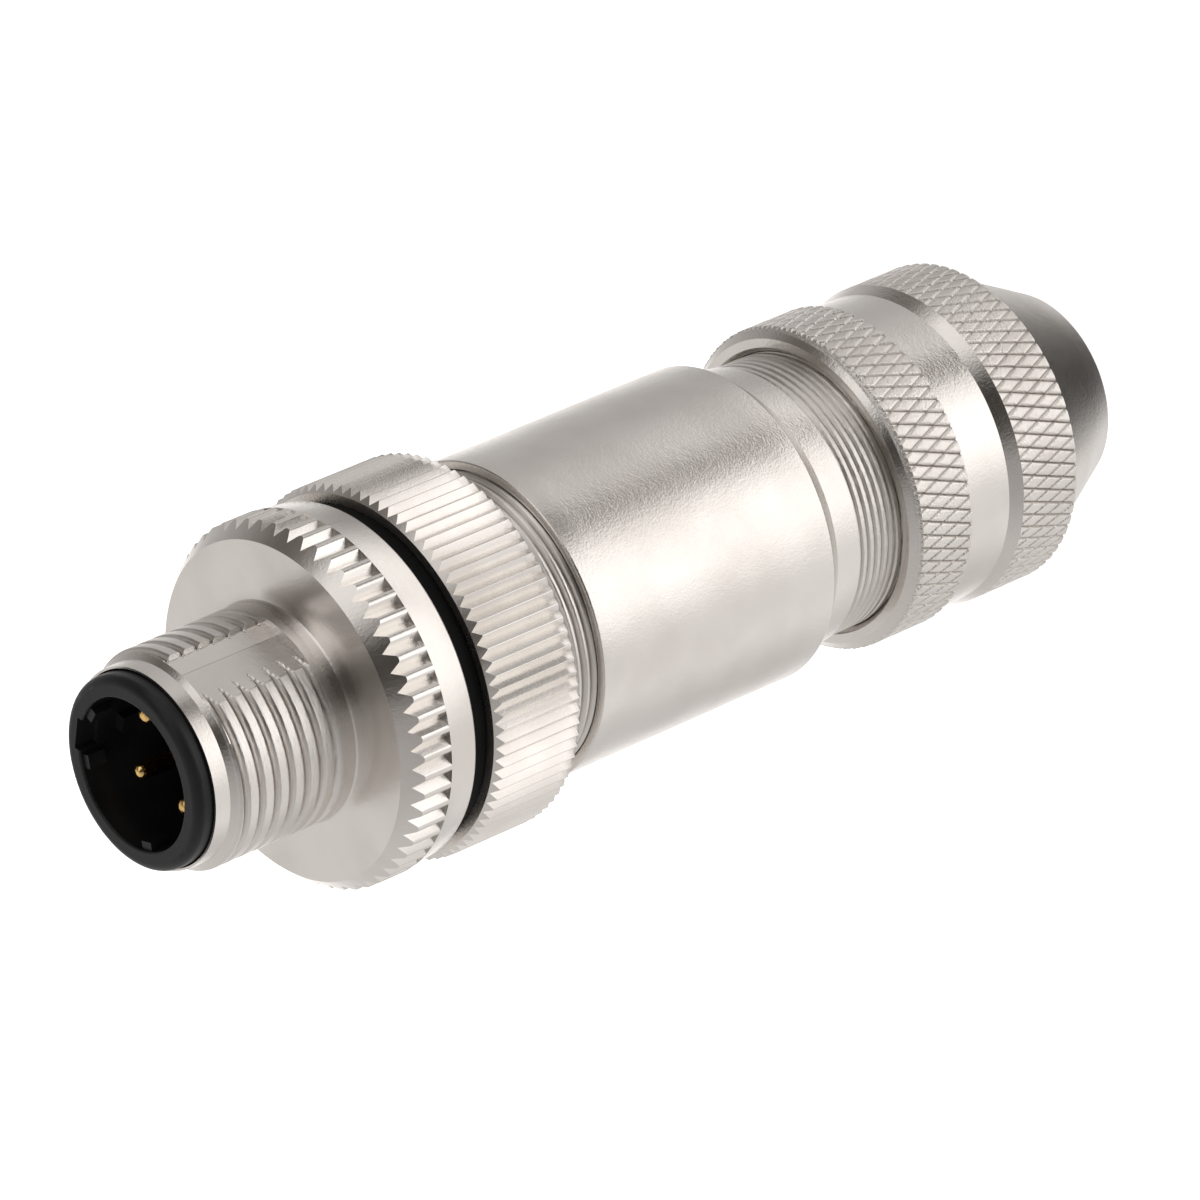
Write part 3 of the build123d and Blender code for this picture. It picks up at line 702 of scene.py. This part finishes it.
# %% Blank of the clamp nut
DIAMONDS = 72
PER_DIAMOND = 10
CABLE_R = 4.2
WAIST_R = 8.8
REAR_R = 9.1
REAR_LOW = 6.1
REAR_HIGH = 10.1
REAR_ROW = (REAR_HIGH - REAR_LOW) / 19
FRONT_R = 9.15
FRONT_LOW = 14.0
FRONT_BEVEL_LOW = 17.6
FRONT_KNURL_HIGH = 18.1
FRONT_ROW = (FRONT_BEVEL_LOW - FRONT_LOW) / 17
NUT_HIGH = 18.15
NUT_BORE_R = 7.85
path = outline(
    (CABLE_R, 0, 0.25), (5.5, 0, 0.5, 2.0), (8.6, REAR_LOW), (REAR_R, REAR_LOW + HAIR, 0, REAR_ROW),
    (REAR_R, REAR_HIGH), (REAR_R, REAR_HIGH + 5 * HAIR), (WAIST_R, 10.9), (WAIST_R, FRONT_LOW),
    (FRONT_R, FRONT_LOW + HAIR, 0, FRONT_ROW), (FRONT_R, FRONT_BEVEL_LOW, 0, 0.2), (8.6, NUT_HIGH),
    (8.1, NUT_HIGH), (NUT_BORE_R, 17.9), (NUT_BORE_R, 9.9), (6.6, 9.9), (6.6, 8.6), (4.7, 2.4),
    (CABLE_R, 2.2),
)
nut = lathe("clamp_nut_plated", path, even(DIAMONDS * PER_DIAMOND))
work = bmesh.new()
work.from_mesh(nut.data)
grips = []
for face in work.faces:
    middle = face.calc_center_median() / MM
    knurled = REAR_LOW < middle.z < REAR_HIGH or FRONT_LOW < middle.z < FRONT_KNURL_HIGH
    outer = hypot(middle.x, middle.y) > 8.5 and abs(face.normal.z) < 0.9
    if knurled and outer:
        grips.append(face)
bmesh.ops.poke(work, faces=grips)
work.to_mesh(nut.data)
work.free()
print("split faces of the grips", len(grips))

# %% Knurl of the clamp nut
for land, low, high, row in (
    (REAR_R, REAR_LOW, REAR_HIGH + HAIR, REAR_ROW),
    (FRONT_R, FRONT_LOW, FRONT_KNURL_HIGH, FRONT_ROW),
):
    cut(
        nut, diamond_knurl, Count=float(DIAMONDS), LandRadius=land, Depth=0.14, Dome=0.015,
        LeftShare=0.7, GrooveShare=1.5 / PER_DIAMOND, DiamondHeight=row * PER_DIAMOND,
        Low=low, High=high, Material=grip_nickel,
    )
mend(nut, smooth_angle=12)
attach(nut, "nut")
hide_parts("clamp_nut")

# %% [markdown]
# ## Plastic, rubber and gold
#
# The insert is a satin black moulding with a very fine mould texture; the pins are gold over
# brass, polished, a little darker where handling dulls them. The hidden rubber and the cage get
# their own finishes too, since they show through the cable hole and when the plug is apart.

# %% Other finishes
def moulded(name, low, high, smooth, rough, grain_mm, depth, specular=0.5):
    """Plastic or rubber with a fine mould texture and slightly uneven gloss."""
    material, start, where = new_material(name)
    grain = noise(where, grain_mm, 3)
    broad = noise(where, 3.0)
    values = {
        "Base Color": blend_colour(broad.fade(0.3, 0.7), (*low, 1), (*high, 1)),
        "Roughness": smooth + (rough - smooth) * (grain * 0.5 + broad * 0.5),
        "Specular IOR Level": specular,
        "Normal": relief(grain, depth),
    }
    finish_material(start, values)
    return material


def polished(name, bright, dull, smooth, rough):
    """Small polished metal parts, duller in patches."""
    material, start, where = new_material(name)
    patches = noise(where, 0.8, 3).fade(0.35, 0.75)
    values = {
        "Base Color": blend_colour(patches, (*bright, 1), (*dull, 1)),
        "Metallic": 1.0,
        "Roughness": smooth + (rough - smooth) * patches,
        "Normal": relief(noise(where, 0.1), 0.003),
    }
    finish_material(start, values)
    return material


black_plastic = moulded(
    "black_plastic", (0.006, 0.006, 0.0065), (0.010, 0.010, 0.011),
    smooth=0.28, rough=0.42, grain_mm=0.12, depth=0.01, specular=0.25,
)
washer_plastic = moulded(
    "washer_plastic", (0.003, 0.003, 0.003), (0.005, 0.005, 0.005),
    smooth=0.5, rough=0.65, grain_mm=0.1, depth=0.01, specular=0.1,
)
cage_plastic = moulded(
    "cage_plastic", (0.06, 0.06, 0.062), (0.09, 0.09, 0.092),
    smooth=0.4, rough=0.6, grain_mm=0.15, depth=0.012,
)
rubber = moulded(
    "seal_rubber", (0.022, 0.022, 0.022), (0.035, 0.034, 0.033),
    smooth=0.6, rough=0.85, grain_mm=0.2, depth=0.02,
)
gold = polished("gold_contact", (0.95, 0.66, 0.26), (0.78, 0.50, 0.17), smooth=0.12, rough=0.28)
plain_nickel = polished(
    "plain_nickel", (0.66, 0.63, 0.58), (0.52, 0.49, 0.45), smooth=0.25, rough=0.45,
)
spring_steel = polished(
    "spring_steel", (0.42, 0.42, 0.43), (0.30, 0.30, 0.31), smooth=0.25, rough=0.4,
)
screw_plate = polished(
    "screw_plate", (0.74, 0.70, 0.60), (0.60, 0.55, 0.46), smooth=0.2, rough=0.4,
)
print("all finishes", [m.name for m in bpy.data.materials])

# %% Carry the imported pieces' finishes over
finish_of = {
    "contact_carrier": black_plastic,
    "spacer_washer": washer_plastic,
    "clamping_cage": cage_plastic,
    "carrier_seal": rubber,
    "gland_seal": rubber,
    "retaining_clip": spring_steel,
    "spacer_sleeve": plain_nickel,
    "shield_ring": plain_nickel,
    "thrust_washer": plain_nickel,
}
for pole in range(1, 5):
    finish_of[f"contact_pin_{pole}"] = gold
    finish_of[f"terminal_screw_{pole}"] = screw_plate
for node, finish in finish_of.items():
    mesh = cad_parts[node].data
    mesh.materials.clear()
    mesh.materials.append(finish)
print("finished nodes", len(finish_of))

# %% [markdown]
# ## Floor and light
#
# Polished metal is only as good as what it mirrors. Seen from above, the sides of an upright
# cylinder mirror what lies below the horizon, so a plain floor would turn them flat grey. The
# studio is therefore three rings of soft light and shade all round the object, one over the
# other, and the floor, plain and pale, is left out of mirror rays.

# %% Studio
world = bpy.data.worlds.new("studio")
bpy.context.scene.world = world
world.use_nodes = True
world.node_tree.nodes.clear()
start = Wire(world.node_tree)
facing = start.node("ShaderNodeTexCoord", None, None, "Generated")
x = facing.node("ShaderNodeSeparateXYZ", None, {0: facing})
y = x.sibling("Y")
z = x.sibling("Z")
around = x.math("ARCTAN2", -y) / (2 * pi) + 0.5
# Three rings of light, the lowest first: azimuths in degrees, each with a brightness.
FLOOR_LIGHT = [
    (-180, 0.80), (-120, 0.92), (-60, 0.86), (-38, 1.20), (-20, 1.38), (40, 1.38), (72, 1.28),
    (90, 0.84), (108, 0.40), (130, 0.26), (148, 0.60), (180, 0.84),
]
TABLE_LIGHT = [
    (-180, 1.45), (-160, 1.15), (-140, 0.66), (-115, 0.66), (-88, 0.92), (-68, 0.86), (-48, 0.88),
    (-32, 1.28), (-10, 1.65), (10, 1.45), (26, 0.95), (33, 0.20), (47, 0.10), (54, 0.64), (75, 0.60),
    (110, 0.50), (140, 0.58), (160, 1.15), (180, 1.45),
]
ROOM_LIGHT = [
    (-180, 0.76), (-130, 0.68), (-90, 0.58), (-50, 0.42), (-32, 0.36), (-14, 0.06), (16, 0.03),
    (27, 0.35), (40, 0.95), (66, 1.05), (76, 0.46), (84, 0.15), (104, 0.12), (125, 0.34),
    (165, 0.64), (180, 0.76),
]
UNDERSIDE = (0.015, 0.014, 0.013, 1)
WORLD_STRENGTH = 2.0
DIM = 0.4


def light_ring(around, stops):
    """A ring of light from azimuths in degrees and brightnesses, the dimmer the warmer."""
    coloured = []
    for azimuth, brightness in stops:
        warmth = 0.03 + 0.12 * max(0, DIM - brightness) / DIM
        red = brightness / WORLD_STRENGTH
        colour = (red, red * (1 - warmth), red * (1 - 1.7 * warmth))
        coloured.append(((azimuth + 180) / 360, colour))
    return around.node("ShaderNodeValToRGB", {"stops": coloured}, {0: around})


under = z.fade(-0.85, -1.01)
near_floor = z.fade(-0.64, -0.71)
above = z.fade(-0.42, -0.16)
table_light = light_ring(around, TABLE_LIGHT)
low_light = blend_colour(near_floor, table_light, light_ring(around, FLOOR_LIGHT))
low_light = blend_colour(under, low_light, UNDERSIDE)
values = {
    "Color": blend_colour(above, low_light, light_ring(around, ROOM_LIGHT)),
    "Strength": WORLD_STRENGTH,
}
background = start.node("ShaderNodeBackground", None, values, "Background")
start.node("ShaderNodeOutputWorld", None, {"Surface": background})
print("world nodes", len(world.node_tree.nodes))

# %% Floor
mesh = bpy.data.meshes.new("floor")
half = 12.0
corners = [(-half, -half, 0), (half, -half, 0), (half, half, 0), (-half, half, 0)]
mesh.from_pydata(corners, [], [(0, 1, 2, 3)])
floor = bpy.data.objects.new("floor", mesh)
bpy.context.scene.collection.objects.link(floor)
floor_paint, start, _ = new_material("pale_floor")
values = {
    "Base Color": (0.86, 0.86, 0.86, 1),
    "Roughness": 0.9,
    "Emission Color": (1, 1, 1, 1),
    "Emission Strength": 0.75,
}
finish_material(start, values)
mesh.materials.append(floor_paint)
floor.visible_glossy = False
floor.visible_shadow = False
print("floor is", 2 * half, "m wide")

# %% Sun
sun = bpy.data.objects.new("soft_sun", bpy.data.lights.new("soft_sun", "SUN"))
sun.data.energy = 1.2
sun.data.angle = radians(50)
sun.visible_glossy = False
sun.rotation_euler = (radians(25), radians(-20), 0)
bpy.context.scene.collection.objects.link(sun)
bpy.context.scene.view_settings.view_transform = "Standard"
print("sun energy", sun.data.energy)

# %% [markdown]
# ## Camera
#
# The view was found by fitting the ellipses of the rim, the disc and the rings: a long lens from
# about half a metre away, looking down 36 degrees, rolled so that the plug runs across the
# picture with its pins at the lower left.

# %% Camera
AIM = Vector((-1.18, 0, 33.14)) * MM
DISTANCE = 474.5 * MM
ELEVATION = radians(36.35)
ROLL = radians(-113.16)
camera = bpy.data.objects.new("camera", bpy.data.cameras.new("camera"))
bpy.context.scene.collection.objects.link(camera)
camera.data.sensor_width = 36.0
camera.data.lens = 270.0
camera.data.clip_start = 0.02
camera.data.clip_end = 60.0
look = Vector((0, cos(ELEVATION), -sin(ELEVATION)))
level_right = Vector((1, 0, 0))
level_up = level_right.cross(look)
right = level_right * cos(ROLL) + level_up * sin(ROLL)
up = right.cross(look)
axes = Matrix((right, up, -look)).transposed()
camera.matrix_world = Matrix.Translation(AIM - look * DISTANCE) @ axes.to_4x4()
bpy.context.scene.camera = camera
print("camera at mm", [round(c / MM, 2) for c in camera.location])
